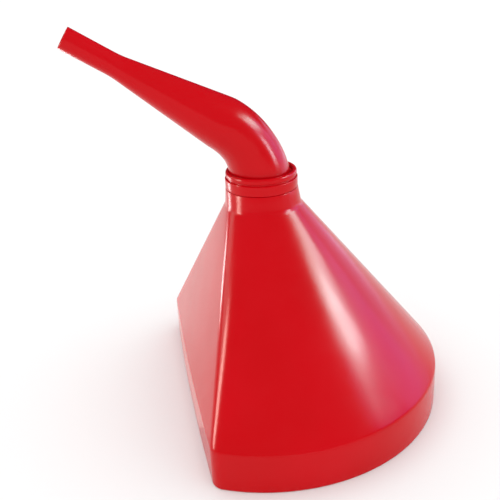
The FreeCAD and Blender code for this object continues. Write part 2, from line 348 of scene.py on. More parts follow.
def thread_rule() -> Rule:
    """Make the rule for a right-hand thread ridge that fades into its wall at both ends.

    Each outline point gives (radius, -, height above the ridge's middle).

    Returns:
        The rule.
    """
    rule = Rule("thread_ridge", {"Root Radius": 0.02, "Pitch": 0.003, "Turns": 1.0,
                                 "Start Height": 0.17, "Start Turn": 0.0, "Fade": 0.1},
                {"Columns": 120})
    columns, root = rule.given("Columns"), rule.given("Root Radius")
    mesh, column, outline = rule.lattice(columns)
    radius, _, offset = rule.parts(outline)
    share = column / columns
    to_end = rule.math("MINIMUM", share, 1.0 - share)
    fade = rule.smooth(to_end / rule.given("Fade"))
    grown = root + (radius - root) * fade
    turns = rule.given("Start Turn") + rule.given("Turns") * share
    height = rule.given("Start Height") + rule.given("Pitch") * turns + offset * fade
    angle = turns * TURN
    rule.close(rule.placed(mesh, rule.point(
        grown * rule.cosine(angle), grown * rule.sine(angle), height)))
    return rule


def weave_rule() -> Rule:
    """Make the rule for a disc of plain-woven wire.

    Returns:
        The rule.
    """
    rule = Rule("woven_disc", {"Disc Radius": 0.02, "Wire Spacing": 0.001, "Wire Radius": 0.0001,
                               "Wave Height": 0.0001, "Disc Height": 0.16},
                {"Wires": 30, "Wire Points": 120, "Wire Sides": 6})
    reach, spacing = rule.given("Disc Radius"), rule.given("Wire Spacing")
    half_width = (rule.given("Wires") - 1.0) * spacing / 2.0
    line = rule.out("GeometryNodeCurvePrimitiveLine", None, {
        "Start": rule.point(reach * -1.0, 0.0, 0.0), "End": rule.point(reach, 0.0, 0.0)})
    wire = rule.out("GeometryNodeResampleCurve", None, {
        "Curve": line, "Count": rule.given("Wire Points")})
    places = rule.out("GeometryNodeMeshLine", None, {
        "Count": rule.given("Wires"), "Start Location": rule.point(0.0, half_width * -1.0, 0.0),
        "Offset": rule.point(0.0, spacing, 0.0)})
    row = rule.out("GeometryNodeRealizeInstances", None, {
        "Geometry": rule.out("GeometryNodeInstanceOnPoints", None, {"Points": places, "Instance": wire})})
    position = rule.out("GeometryNodeInputPosition")
    x, y, _ = rule.parts(position)
    wave = (rule.cosine(x * math.pi / spacing) * rule.cosine(y * math.pi / spacing)
            * rule.given("Wave Height"))
    distance = rule.out("ShaderNodeVectorMath", {"operation": "LENGTH"}, {0: position}, "Value")
    beyond = rule.math("GREATER_THAN", distance, reach)
    section = rule.out("GeometryNodeCurvePrimitiveCircle", None, {
        "Resolution": rule.given("Wire Sides"), "Radius": rule.given("Wire Radius")})
    sets = []
    for side, quarter in ((1.0, 0.0), (-1.0, TURN / 4)):
        turned = rule.out("GeometryNodeTransform", None, {"Geometry": row, "Rotation": (0.0, 0.0, quarter)})
        trimmed = rule.out("GeometryNodeDeleteGeometry", {"domain": "POINT"}, {
            "Geometry": turned, "Selection": beyond})
        waved = rule.placed(trimmed, rule.point(x, y, rule.given("Disc Height") + wave * side))
        sets.append(rule.out("GeometryNodeCurveToMesh", None, {
            "Curve": waved, "Profile Curve": section, "Fill Caps": True}))
    both = rule.add("GeometryNodeJoinGeometry")
    for wires in sets:
        rule.tree.links.new(wires.socket, both.inputs[0])
    rule.close(Wire(rule, both.outputs[0]))
    return rule


def spoke_rule() -> Rule:
    """Make the rule for equal arms set round an axis.

    Returns:
        The rule.
    """
    rule = Rule("arms_round_an_axis", {"Start": 0.002, "Length": 0.02, "Width": 0.002, "Height": 0.002,
                                       "Base Height": 0.16}, {"Arms": 4})
    length, height = rule.given("Length"), rule.given("Height")
    bar = rule.out("GeometryNodeMeshCube", None, {
        "Size": rule.point(length, rule.given("Width"), height), "Vertices X": 12}, "Mesh")
    arm = rule.out("GeometryNodeTransform", None, {
        "Geometry": bar,
        "Translation": rule.point(rule.given("Start") + length / 2.0, 0.0,
                                  rule.given("Base Height") + height / 2.0)})
    spots = rule.out("GeometryNodePoints", None, {"Count": rule.given("Arms")})
    turn = rule.point(0.0, 0.0, rule.index * (TURN / rule.given("Arms")))
    rule.close(rule.out("GeometryNodeInstanceOnPoints", None, {
        "Points": spots, "Instance": arm, "Rotation": turn}))
    return rule


@dataclass(frozen=True)
class Corner:
    """One corner of an outline, in millimetres.

    Attributes:
        radius: Distance from the axis.
        along: Height, or distance along the axis.
        rounding: Radius of the corner's rounding.
        side: Second number of the outline point; the radius again where it isn't given.
    """

    radius: float
    along: float
    rounding: float = 0.0
    side: float | None = None

    def place(self) -> Vector:
        """Give the corner as an outline point."""
        return Vector((self.radius, self.radius if self.side is None else self.side, self.along))


def rounded(corners: list[Corner], step: float = LONGEST_EDGE, arc_points: int = 6) -> list[Vector]:
    """Round a closed outline's corners and divide its long edges.

    Args:
        corners: The outline's corners in order.
        step: Longest edge left undivided.
        arc_points: Number of edges in one rounding's arc.

    Returns:
        The points of the outline, in order.
    """
    spots = [corner.place() for corner in corners]
    ring: list[Vector] = []
    for index, corner in enumerate(corners):
        here = spots[index]
        before, after = (spots[index - 1] - here), (spots[(index + 1) % len(spots)] - here)
        half = before.angle(after, math.pi) / 2
        if corner.rounding <= 0 or half > STRAIGHT_ANGLE:
            ring.append(here)
            continue
        longest = ROUNDING_SHARE * min(before.length, after.length)
        reach = min(corner.rounding / math.tan(half), longest)
        middle = here + (before.normalized() + after.normalized()).normalized() * (reach / math.cos(half))
        start = here + before.normalized() * reach - middle
        end = here + after.normalized() * reach - middle
        for edge in range(arc_points + 1):
            ring.append(middle + start.slerp(end, edge / arc_points).normalized() * start.length)
    points: list[Vector] = []
    for index, here in enumerate(ring):
        there = ring[(index + 1) % len(ring)]
        pieces = max(1, math.ceil((there - here).length / step))
        points.extend(here.lerp(there, piece / pieces) for piece in range(pieces))
    return points


def joined(name: str, meshes: list[bpy.types.Mesh], material: bpy.types.Material) -> bpy.types.Object:
    """Join meshes into one object with one finish.

    Args:
        name: Name of the object.
        meshes: Closed meshes in the row frame.
        material: The finish.

    Returns:
        The object, smooth but for its sharp edges.
    """
    shell = bmesh.new()
    for mesh in meshes:
        shell.from_mesh(mesh)
        bpy.data.meshes.remove(mesh)
    bmesh.ops.dissolve_degenerate(shell, dist=WELD, edges=shell.edges)
    bmesh.ops.recalc_face_normals(shell, faces=shell.faces)
    for face in shell.faces:
        face.material_index = 0
    final = bpy.data.meshes.new(name)
    shell.to_mesh(final)
    shell.free()
    final.materials.append(material)
    final.shade_smooth()
    final.set_sharp_from_angle(angle=SHARP_ANGLE)
    made = bpy.data.objects.new(name, final)
    bpy.context.scene.collection.objects.link(made)
    return made


class Finish:
    """Base of the finishes: opens a material and closes it on a shader."""

    name = "finish"

    def build(self) -> bpy.types.Material:
        """Make the material.

        Returns:
            The finished material.
        """
        material = bpy.data.materials.new(self.name)
        material.use_nodes = True
        material.node_tree.nodes.clear()
        graph = Graph(material.node_tree)
        shader = self.shader(graph, graph.out("ShaderNodeTexCoord", output="Object"))
        graph.add("ShaderNodeOutputMaterial", None, {"Surface": shader})
        return material

    def shader(self, graph: Graph, place: Wire) -> Wire:
        """Build the surface.

        Args:
            graph: The material's graph.
            place: Position on the object.

        Returns:
            The shader.
        """
        raise NotImplementedError

    @staticmethod
    def noise(graph: Graph, place: Wire, scale: float, detail: float = 2.0) -> Wire:
        """Make a soft noise.

        Args:
            graph: The material's graph.
            place: Position that the noise reads.
            scale: Features in a metre.
            detail: Number of finer layers.

        Returns:
            The noise, mostly from 0.3 to 0.7.
        """
        return graph.out("ShaderNodeTexNoise", None, {
            "Vector": place, "Scale": scale, "Detail": detail}, "Fac")

    def patches(self, graph: Graph, place: Wire, scale: float, detail: float, gain: float,
                cut: float) -> Wire:
        """Make soft-edged patches.

        Args:
            graph: The material's graph.
            place: Position that the patches read.
            scale: Patches in a metre.
            detail: Number of finer layers.
            gain: Steepness of the patches' edges.
            cut: How much of the steepened noise is cut off below.

        Returns:
            The patches, from 0 to 1.
        """
        return graph.smooth(self.noise(graph, place, scale, detail) * gain - cut)

    @staticmethod
    def bumped(graph: Graph, height: Wire) -> Wire:
        """Turn a height in metres into a normal."""
        return graph.out("ShaderNodeBump", None, {
            "Strength": 1.0, "Distance": 1.0, "Height": height}, "Normal")

    @staticmethod
    def blended(graph: Graph, share: Wire, first: tuple[float, ...], second: tuple[float, ...]) -> Wire:
        """Mix two colours.

        Args:
            graph: The material's graph.
            share: Share of the second colour.
            first: The first colour.
            second: The second colour.

        Returns:
            The mixed colour.
        """
        node = graph.add("ShaderNodeMix", {"data_type": "RGBA"})
        graph.tree.links.new(share.socket, node.inputs["Factor"])
        node.inputs[6].default_value = (*first, 1.0)
        node.inputs[7].default_value = (*second, 1.0)
        return Wire(graph, node.outputs[2])


@dataclass(frozen=True)
class RedPlastic(Finish):
    """Semi-gloss moulded polyethylene, faintly uneven.

    Attributes:
        deep: Colour of the deeper patches.
        bright: Colour of the brighter patches.
        patch_scale: Patches in a metre.
        patch_gain: Steepness of the patches' edges.
        patch_cut: How much of the patches is cut off below.
        scuff_scale: Scuffs in a metre.
        roughness: Roughness of the smoothest spots.
        roughness_gain: Gain in roughness on the most scuffed spots.
        wave_scale: Broad waves in a metre, left by moulding.
        wave_depth: Depth of the waves, in metres.
        grain_scale: Grains in a metre.
        grain_depth: Depth of the fine grain, in metres.
        ior: Index of refraction, low for a soft sheen.
    """

    name: str = "red_polyethylene"
    deep: tuple[float, float, float] = (0.53, 0.0003, 0.003)
    bright: tuple[float, float, float] = (0.57, 0.0006, 0.005)
    patch_scale: float = 14.0
    patch_gain: float = 2.0
    patch_cut: float = 0.5
    scuff_scale: float = 84.0
    roughness: float = 0.17
    roughness_gain: float = 0.07
    wave_scale: float = 26.0
    wave_depth: float = 0.00035
    grain_scale: float = 900.0
    grain_depth: float = 0.000004
    ior: float = 1.26

    def shader(self, graph: Graph, place: Wire) -> Wire:
        """Build the surface.

        Args:
            graph: The material's graph.
            place: Position on the object.

        Returns:
            The shader.
        """
        patches = self.patches(graph, place, self.patch_scale, 2.0, self.patch_gain, self.patch_cut)
        scuffs = self.noise(graph, place, self.scuff_scale, 4.0)
        waves = self.noise(graph, place, self.wave_scale, 1.0)
        grain = self.noise(graph, place, self.grain_scale)
        height = waves * self.wave_depth + grain * self.grain_depth
        return graph.out("ShaderNodeBsdfPrincipled", None, {
            "Base Color": self.blended(graph, patches, self.deep, self.bright),
            "Roughness": self.roughness + self.roughness_gain * scuffs,
            "IOR": self.ior,
            "Normal": self.bumped(graph, height),
        })


@dataclass(frozen=True)
class BlackPlastic(Finish):
    """Matt black plastic with a fine moulded texture.

    Attributes:
        dark: Colour of the darker patches.
        light: Colour of the lighter patches.
        patch_scale: Patches in a metre.
        roughness: Roughness in the texture's hollows.
        roughness_gain: Gain in roughness on its crests.
        texture_scale: Grains in a metre.
        texture_depth: Depth of the texture, in metres.
    """

    name: str = "black_moulded"
    dark: tuple[float, float, float] = (0.018, 0.018, 0.02)
    light: tuple[float, float, float] = (0.04, 0.04, 0.045)
    patch_scale: float = 120.0
    roughness: float = 0.42
    roughness_gain: float = 0.2
    texture_scale: float = 1600.0
    texture_depth: float = 0.00002

    def shader(self, graph: Graph, place: Wire) -> Wire:
        """Build the surface.

        Args:
            graph: The material's graph.
            place: Position on the object.

        Returns:
            The shader.
        """
        patches = self.noise(graph, place, self.patch_scale, 3.0)
        grain = self.noise(graph, place, self.texture_scale)
        return graph.out("ShaderNodeBsdfPrincipled", None, {
            "Base Color": self.blended(graph, patches, self.dark, self.light),
            "Roughness": self.roughness + self.roughness_gain * grain,
            "Normal": self.bumped(graph, grain * self.texture_depth),
        })


@dataclass(frozen=True)
class SealRubber(Finish):
    """Dull black rubber with a little bloom.

    Attributes:
        dark: Colour of the clean rubber.
        bloom: Colour of the bloom.
        bloom_scale: Blooms in a metre.
        bloom_gain: Steepness of the blooms' edges.
        bloom_cut: How much of the bloom is cut off below.
        roughness: Roughness of the clean rubber.
        roughness_gain: Gain in roughness on the bloom.
        pore_scale: Pores in a metre.
        pore_depth: Depth of the pores, in metres.
    """

    name: str = "black_rubber"
    dark: tuple[float, float, float] = (0.012, 0.012, 0.012)
    bloom: tuple[float, float, float] = (0.05, 0.048, 0.045)
    bloom_scale: float = 260.0
    bloom_gain: float = 2.4
    bloom_cut: float = 0.9
    roughness: float = 0.62
    roughness_gain: float = 0.2
    pore_scale: float = 2200.0
    pore_depth: float = 0.00002

    def shader(self, graph: Graph, place: Wire) -> Wire:
        """Build the surface.

        Args:
            graph: The material's graph.
            place: Position on the object.

        Returns:
            The shader.
        """
        bloom = self.patches(graph, place, self.bloom_scale, 4.0, self.bloom_gain, self.bloom_cut)
        pores = self.noise(graph, place, self.pore_scale)
        return graph.out("ShaderNodeBsdfPrincipled", None, {
            "Base Color": self.blended(graph, bloom, self.dark, self.bloom),
            "Roughness": self.roughness + self.roughness_gain * bloom,
            "Normal": self.bumped(graph, pores * self.pore_depth),
        })


@dataclass(frozen=True)
class BrassWire(Finish):
    """Drawn brass wire, a little tarnished.

    Attributes:
        bright: Colour of the clean wire.
        tarnish: Colour of the tarnished wire.
        tarnish_scale: Tarnished spots in a metre.
        tarnish_gain: Steepness of the spots' edges.
        tarnish_cut: How much of the tarnish is cut off below.
        roughness: Roughness of the clean wire.
        roughness_gain: Gain in roughness where it is tarnished.
    """

    name: str = "woven_brass"
    bright: tuple[float, float, float] = (0.82, 0.62, 0.3)
    tarnish: tuple[float, float, float] = (0.42, 0.27, 0.12)
    tarnish_scale: float = 180.0
    tarnish_gain: float = 2.0
    tarnish_cut: float = 0.7
    roughness: float = 0.24
    roughness_gain: float = 0.22

    def shader(self, graph: Graph, place: Wire) -> Wire:
        """Build the surface.

        Args:
            graph: The material's graph.
            place: Position on the object.

        Returns:
            The shader.
        """
        tarnish = self.patches(graph, place, self.tarnish_scale, 4.0, self.tarnish_gain, self.tarnish_cut)
        return graph.out("ShaderNodeBsdfPrincipled", None, {
            "Base Color": self.blended(graph, tarnish, self.bright, self.tarnish),
            "Metallic": 1.0,
            "Roughness": self.roughness + self.roughness_gain * tarnish,
        })


@dataclass(frozen=True)
class StudioFloor(Finish):
    """Pale paper that shows only from above.

    Attributes:
        tone: Colour of the paper.
        shade: Colour of its slightly darker patches.
        patch_scale: Patches in a metre.
    """

    name: str = "studio_floor"
    tone: tuple[float, float, float] = (0.9, 0.9, 0.9)
    shade: tuple[float, float, float] = (0.88, 0.88, 0.88)
    patch_scale: float = 4.0

    def shader(self, graph: Graph, place: Wire) -> Wire:
        """Build the surface.

        Args:
            graph: The material's graph.
            place: Position on the object.

        Returns:
            The shader.
        """
        paper = graph.out("ShaderNodeBsdfDiffuse", None, {
            "Color": self.blended(graph, self.noise(graph, place, self.patch_scale), self.tone,
                                  self.shade)})
        return graph.out("ShaderNodeMixShader", None, {
            0: graph.out("ShaderNodeNewGeometry", output="Backfacing"), 1: paper,
            2: graph.out("ShaderNodeBsdfTransparent")})


@dataclass
class Sizes:
    """Sizes shared by the pieces, in millimetres and degrees.

    Attributes:
        front_angle: Half the sweep of a flat-sided outline's front arc.
        flat_angle: Direction of the flat side's normal where it leaves its corner.
        shoulder: Height of the neck's shoulder under the collar.
        neck_top: Height of the neck's mouth.
        neck_bore: Radius of the neck's bore.
        thread_root: Radius of the neck wall that the thread stands on.
        thread_depth: How far the thread stands out.
        thread_pitch: Rise of the thread in one turn.
        thread_start: Height of the thread's middle at its first turn.
        thread_overlap: How deep a ridge's root lies in its wall.
        thread_halves: Half the neck thread's height at its root and at its crest.
        ridge_rounding: Rounding of a ridge's crest.
        ridge_fade: Share of a ridge that fades at each end.
        ridge_columns: Faces in one turn of a ridge.
    """

    front_angle: float = 115.8
    flat_angle: float = 177.9
    shoulder: float = 169.3
    neck_top: float = 175.9
    neck_bore: float = 21.2
    thread_root: float = 23.8
    thread_depth: float = 1.1
    thread_pitch: float = 3.0
    thread_start: float = 170.6
    thread_overlap: float = 0.2
    thread_halves: tuple[float, float] = (0.85, 0.4)
    ridge_rounding: float = 0.2
    ridge_fade: float = 0.12
    ridge_columns: int = 90


class Kit:
    """The rules and finishes that the pieces share."""

    def __init__(self) -> None:
        """Build every rule and finish once."""
        self.sizes = Sizes()
        self.walls = wall_rule()
        self.tubes = bent_tube_rule()
        self.threads = thread_rule()
        self.weaves = weave_rule()
        self.arms = spoke_rule()
        self.finishes = {
            Slot.RED: RedPlastic().build(),
            Slot.BLACK: BlackPlastic().build(),
            Slot.RUBBER: SealRubber().build(),
            Slot.BRASS: BrassWire().build(),
        }

    def wall(self, name: str, corners: list[Corner], columns: tuple[int, int, int],
             step: float = LONGEST_EDGE) -> bpy.types.Mesh:
        """Make a closed wall round the neck's axis.

        Args:
            name: Name of the mesh.
            corners: Corners of its section.
            columns: Faces along the front arc, each corner and the flat side.
            step: Longest edge of the section left undivided.

        Returns:
            The mesh.
        """
        front, corner, flat = columns
        return self.walls.run(name, rounded(corners, step), {
            "Front Angle": math.radians(self.sizes.front_angle),
            "Flat Angle": math.radians(self.sizes.flat_angle),
            "Front Columns": front, "Corner Columns": corner, "Flat Columns": flat})

    def ridge(self, name: str, root: float, crest: float, halves: tuple[float, float],
              start_turn: float, turns: float, start_height: float) -> bpy.types.Mesh:
        """Make a thread ridge round the neck's axis.

        Args:
            name: Name of the mesh.
            root: Radius where the ridge ends inside its wall.
            crest: Radius of the crest.
            halves: Half the ridge's height at its root and at its crest.
            start_turn: Turn where the ridge starts.
            turns: Number of turns.
            start_height: Height of the ridge's middle at turn zero.

        Returns:
            The mesh.
        """
        root_half, crest_half = halves
        sizes = self.sizes
        section = [Corner(root, -root_half), Corner(crest, -crest_half, sizes.ridge_rounding),
                   Corner(crest, crest_half, sizes.ridge_rounding), Corner(root, root_half)]
        return self.threads.run(name, rounded(section, arc_points=3), {
            "Root Radius": root * MM, "Pitch": sizes.thread_pitch * MM, "Turns": turns,
            "Start Height": start_height * MM, "Start Turn": start_turn, "Fade": sizes.ridge_fade,
            "Columns": round(turns * sizes.ridge_columns)})


class Piece:
    """A piece of the funnel that stands for one CAD node."""

    node = ""
    body = ""
    slot = Slot.RED

    def build(self, kit: Kit) -> list[bpy.types.Mesh]:
        """Make the piece's closed meshes."""
        raise NotImplementedError

    def dress(self, kit: Kit) -> bpy.types.Object:
        """Give the piece its finish and put it on its body.

        Args:
            kit: The shared rules and finishes.

        Returns:
            The finished object.
        """
        made = joined(f"{self.node}_shown", self.build(kit), kit.finishes[self.slot])
        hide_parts(self.node)
        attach(made, self.body)
        log.info("%s: %d faces on body %s", made.name, len(made.data.polygons), self.body)
        return made


@dataclass
class FunnelShell(Piece):
    """Skirt, cone, neck and neck thread, moulded as one shell."""

    node: str = "funnel_body"
    body: str = "funnel"
    slot: Slot = Slot.RED
    mouth_radius: float = 130.0
    mouth_corner: float = 11.2
    skirt_height: float = 30.0
    wall: float = 2.0
    knee_drop: float = 0.7
    knee_rounding: float = 5.0
    rim_rounding: float = 0.8
    neck_meet: float = 157.05
    neck_meet_radius: float = 28.46
    neck_foot_corner: float = 25.5
    flare_rounding: float = 9.0
    neck_radius: float = 26.3
    pocket_radius: float = 23.6
    pocket_bottom: float = 159.9
    ledge: float = 165.0
    thread_turns: float = 1.35
    edge: float = 0.4

    def build(self, kit: Kit) -> list[bpy.types.Mesh]:
        """Make the shell and its thread.

        Args:
            kit: The shared rules and finishes.

        Returns:
            The closed meshes.
        """
        sizes = kit.sizes
        inner_radius, inner_corner = self.mouth_radius - self.wall, self.mouth_corner - self.wall
        knee = self.skirt_height - self.knee_drop
        outline = [
            Corner(self.mouth_radius, 0, self.rim_rounding, self.mouth_corner),
            Corner(self.mouth_radius, self.skirt_height, self.knee_rounding, self.mouth_corner),
            Corner(self.neck_meet_radius, self.neck_meet, self.flare_rounding, self.neck_foot_corner),
            Corner(self.neck_radius, sizes.shoulder, self.edge),
            Corner(sizes.thread_root, sizes.shoulder, self.edge),
            Corner(sizes.thread_root, sizes.neck_top, self.edge),
            Corner(sizes.neck_bore, sizes.neck_top, self.edge),
            Corner(sizes.neck_bore, self.ledge, self.edge),
            Corner(self.pocket_radius, self.ledge),
            Corner(self.pocket_radius, self.pocket_bottom, self.edge),
            Corner(inner_radius, knee, self.knee_rounding, inner_corner),
            Corner(inner_radius, 0, self.rim_rounding, inner_corner),
        ]
        thread = kit.ridge("neck_thread", sizes.thread_root - sizes.thread_overlap,
                           sizes.thread_root + sizes.thread_depth, sizes.thread_halves,
                           0.0, self.thread_turns, sizes.thread_start)
        return [kit.wall("shell", outline, FLAT_SIDED), thread]


@dataclass
class Spout(Piece):
    """Bent outlet tube with the flange that the collar holds."""

    node: str = "spout"
    body: str = "spout"
    slot: Slot = Slot.RED
    flange_radius: float = 23.9
    flange_bottom: float = 177.4
    flange_thickness: float = 2.0
    bend_start: float = 170.1
    bend_radius: float = 57.2
    bend_angle: float = 56.9
    base_radius: float = 21.7
    waist_radius: float = 19.75
    waist_at: float = 27.0
    waist_rounding: float = 90.0
    bend_end_radius: float = 19.1
    bend_end_at: float = 57.6
    bend_end_rounding: float = 60.0
    tip_radius: float = 7.8
    tip_at: float = 138.5
    tip_rounding: float = 70.0
    tip_flare: float = 0.05
    straight_length: float = 119.0
    base_wall: float = 1.8
    tip_wall: float = 1.4
    foot_lift: float = 0.2
    edge: float = 0.5
    step: float = 2.5
    arc_points: int = 10
    columns: int = 112

    def build(self, kit: Kit) -> list[bpy.types.Mesh]:
        """Make the tube and its flange.

        Args:
            kit: The shared rules and finishes.

        Returns:
            The closed meshes.
        """
        bend_length = self.bend_radius * math.radians(self.bend_angle)
        end = bend_length + self.straight_length
        tip_bore = self.tip_radius - self.tip_wall
        bore = self.base_radius - self.base_wall
        outer_lift = self.flange_thickness / 2
        outer = [
            Corner(self.base_radius, 0, 0, outer_lift),
            Corner(self.waist_radius, self.waist_at, self.waist_rounding, 0),
            Corner(self.bend_end_radius, self.bend_end_at, self.bend_end_rounding, 0),
            Corner(self.tip_radius, self.tip_at, self.tip_rounding, 0),
            Corner(self.tip_radius + self.tip_flare, end, self.edge, 0),
        ]
        inner = [
            Corner(tip_bore, end, self.edge, 0),
            Corner(tip_bore, self.tip_at, self.tip_rounding, 0),
            Corner(self.bend_end_radius - self.base_wall, self.bend_end_at, self.bend_end_rounding, 0),
            Corner(bore, 0, 0, 0),
        ]
        tube = kit.tubes.run("tube", rounded(outer + inner, self.step, self.arc_points), {
            "Bend Start": self.bend_start * MM, "Bend Radius": self.bend_radius * MM,
            "Bend Angle": math.radians(self.bend_angle), "Columns": self.columns,
            "Foot Height": (self.flange_bottom + self.foot_lift) * MM})
        top = self.flange_bottom + self.flange_thickness
        flange = kit.wall("flange", [
            Corner(bore, self.flange_bottom, self.edge),
            Corner(self.flange_radius, self.flange_bottom, self.edge),
            Corner(self.flange_radius, top, self.edge),
            Corner(bore, top, self.edge),
        ], ROUND)
        return [tube, flange]


@dataclass
class Collar(Piece):
    """Union nut with a band, a groove and a rounded bead."""

    node: str = "spout_collar"
    body: str = "collar"
    slot: Slot = Slot.RED
    bottom: float = 169.5
    top: float = 182.0
    band_radius: float = 26.3
    bead_radius: float = 25.8
    groove_radius: float = 25.0
    groove_height: float = 177.5
    groove_half: float = 0.35
    groove_flank: float = 0.45
    bore: float = 24.2
    thread_bore: float = 25.2
    thread_top: float = 175.4
    lip_hole: float = 23.0
    lip_underside: float = 179.5
    first_turn: float = 0.45
    land_turns: float = 1.45
    land_halves: tuple[float, float] = (0.8, 0.37)
    band_rounding: float = 0.7
    band_top_rounding: float = 0.6
    groove_rounding: float = 0.15
    bead_foot_rounding: float = 0.9
    bead_rounding: float = 1.9
    lip_rounding: float = 1.1
    edge: float = 0.3
    bore_edge: float = 0.2

    def build(self, kit: Kit) -> list[bpy.types.Mesh]:
        """Make the nut and its inner thread.

        Args:
            kit: The shared rules and finishes.

        Returns:
            The closed meshes.
        """
        sizes = kit.sizes
        below, above = self.groove_height - self.groove_half, self.groove_height + self.groove_half
        outline = [
            Corner(self.thread_bore, self.bottom, self.edge),
            Corner(self.band_radius, self.bottom, self.band_rounding),
            Corner(self.band_radius, below - self.groove_flank, self.band_top_rounding),
            Corner(self.groove_radius, below, self.groove_rounding),
            Corner(self.groove_radius, above, self.groove_rounding),
            Corner(self.bead_radius, above + self.groove_flank, self.bead_foot_rounding),
            Corner(self.bead_radius, self.top, self.bead_rounding),
            Corner(self.lip_hole, self.top, self.lip_rounding),
            Corner(self.lip_hole, self.lip_underside, self.edge),
            Corner(self.bore, self.lip_underside, self.bore_edge),
            Corner(self.bore, self.thread_top, self.bore_edge),
            Corner(self.thread_bore, self.thread_top, self.bore_edge),
        ]
        land = kit.ridge("collar_thread", self.thread_bore + sizes.thread_overlap, self.bore,
                         self.land_halves, self.first_turn, self.land_turns,
                         sizes.thread_start - sizes.thread_pitch / 2)
        return [kit.wall("nut", outline, ROUND), land]


@dataclass
class Seal(Piece):
    """Flat washer between the neck and the spout's flange."""

    node: str = "spout_seal"
    body: str = "seal"
    slot: Slot = Slot.RUBBER
    inner_radius: float = 21.4
    outer_radius: float = 23.7
    thickness: float = 1.5
    edge: float = 0.3

    def build(self, kit: Kit) -> list[bpy.types.Mesh]:
        """Make the washer.

        Args:
            kit: The shared rules and finishes.

        Returns:
            The closed mesh.
        """
        bottom = kit.sizes.neck_top
        top = bottom + self.thickness
        return [kit.wall("washer", [
            Corner(self.inner_radius, bottom, self.edge),
            Corner(self.outer_radius, bottom, self.edge),
            Corner(self.outer_radius, top, self.edge),
            Corner(self.inner_radius, top, self.edge),
        ], ROUND)]


@dataclass
class StrainerFrame(Piece):
    """Ring with a rebate for the gauze, and a hub on spokes under it."""

    node: str = "strainer_frame"
    body: str = "strainer"
    slot: Slot = Slot.BLACK
    bottom: float = 161.2
    top: float = 165.0
    outer_radius: float = 23.3
    inner_radius: float = 20.4
    rebate_radius: float = 22.2
    rebate_depth: float = 0.6
    spoke_width: float = 1.8
    spoke_height: float = 2.0
    spoke_count: int = 4
    spoke_start: float = 2.0
    hub_radius: float = 4.0
    hub_step: float = 2.0
    edge: float = 0.3
    rebate_edge: float = 0.1
    rebate_rounding: float = 0.05

    def build(self, kit: Kit) -> list[bpy.types.Mesh]:
        """Make the ring, the spokes and the hub.

        Args:
            kit: The shared rules and finishes.

        Returns:
            The closed meshes.
        """
        rebate = self.top - self.rebate_depth
        ring = kit.wall("ring", [
            Corner(self.inner_radius, self.bottom, self.edge),
            Corner(self.outer_radius, self.bottom, self.edge),
            Corner(self.outer_radius, self.top, self.edge),
            Corner(self.rebate_radius, self.top, self.rebate_edge),
            Corner(self.rebate_radius, rebate, self.rebate_rounding),
            Corner(self.inner_radius, rebate, self.edge),
        ], ROUND)
        hub_top = self.bottom + self.spoke_height
        hub = kit.wall("hub", [
            Corner(0, self.bottom),
            Corner(self.hub_radius, self.bottom, self.edge),
            Corner(self.hub_radius, hub_top, self.edge),
            Corner(0, hub_top),
        ], ROUND, self.hub_step)
        spoke_end = (self.inner_radius + self.outer_radius) / 2
        spokes = kit.arms.run("spokes", [], {
            "Start": self.spoke_start * MM, "Length": (spoke_end - self.spoke_start) * MM,
            "Width": self.spoke_width * MM,
            "Height": self.spoke_height * MM, "Base Height": self.bottom * MM,
            "Arms": self.spoke_count})
        return [ring, hub, spokes]


@dataclass
class StrainerGauze(Piece):
    """Disc of plain-woven wire that lies in the strainer's rebate."""

    node: str = "strainer_gauze"
    body: str = "strainer"
    slot: Slot = Slot.BRASS
    radius: float = 22.0
    middle: float = 164.6
    spacing: float = 1.3
    wire_radius: float = 0.1
    wires: int = 33
    wire_points: int = 136
    wire_sides: int = 5

    def build(self, kit: Kit) -> list[bpy.types.Mesh]:
        """Weave the disc.

        Args:
            kit: The shared rules and finishes.

        Returns:
            The mesh of its wires.
        """
        return [kit.weaves.run("weave", [], {
            "Disc Radius": self.radius * MM, "Wire Spacing": self.spacing * MM,
            "Wire Radius": self.wire_radius * MM, "Wave Height": self.wire_radius * MM,
            "Disc Height": self.middle * MM, "Wires": self.wires,
            "Wire Points": self.wire_points, "Wire Sides": self.wire_sides})]


@dataclass(frozen=True)
class Softbox:
    """A rectangular lamp that shows only in the funnel's gloss.

    Attributes:
        name: Name of the lamp.
        azimuth: Direction from the aim to the lamp, from -Y towards +X, in degrees.
        elevation: Angle of the lamp above the aim, in degrees.
        distance: Distance from the aim, in metres.
        width: Width in metres.
        height: Height in metres.
        strength: Radiance of the lamp's face.
        color: Tint of its light.
        aim: Point that the lamp faces.
    """

    name: str
    azimuth: float
    elevation: float
    distance: float
    width: float
    height: float
    strength: float
    color: tuple[float, float, float] = (1.0, 1.0, 1.0)
    aim: tuple[float, float, float] = (0.0, 0.0, 0.12)

    def build(self) -> None:
        """Set the lamp up."""
        lamp = bpy.data.lights.new(self.name, "AREA")
        lamp.shape = "RECTANGLE"
        lamp.size, lamp.size_y = self.width, self.height
        lamp.energy = self.strength * math.pi * self.width * self.height
        lamp.color = self.color
        held = bpy.data.objects.new(self.name, lamp)
        turn = Euler((math.radians(90 - self.elevation), 0, math.radians(self.azimuth))).to_matrix()
        place = Vector(self.aim) + turn @ Vector((0, 0, self.distance))
        held.matrix_world = Matrix.Translation(place) @ turn.to_4x4()
        held.visible_diffuse = False
        held.visible_camera = False
        bpy.context.scene.collection.objects.link(held)


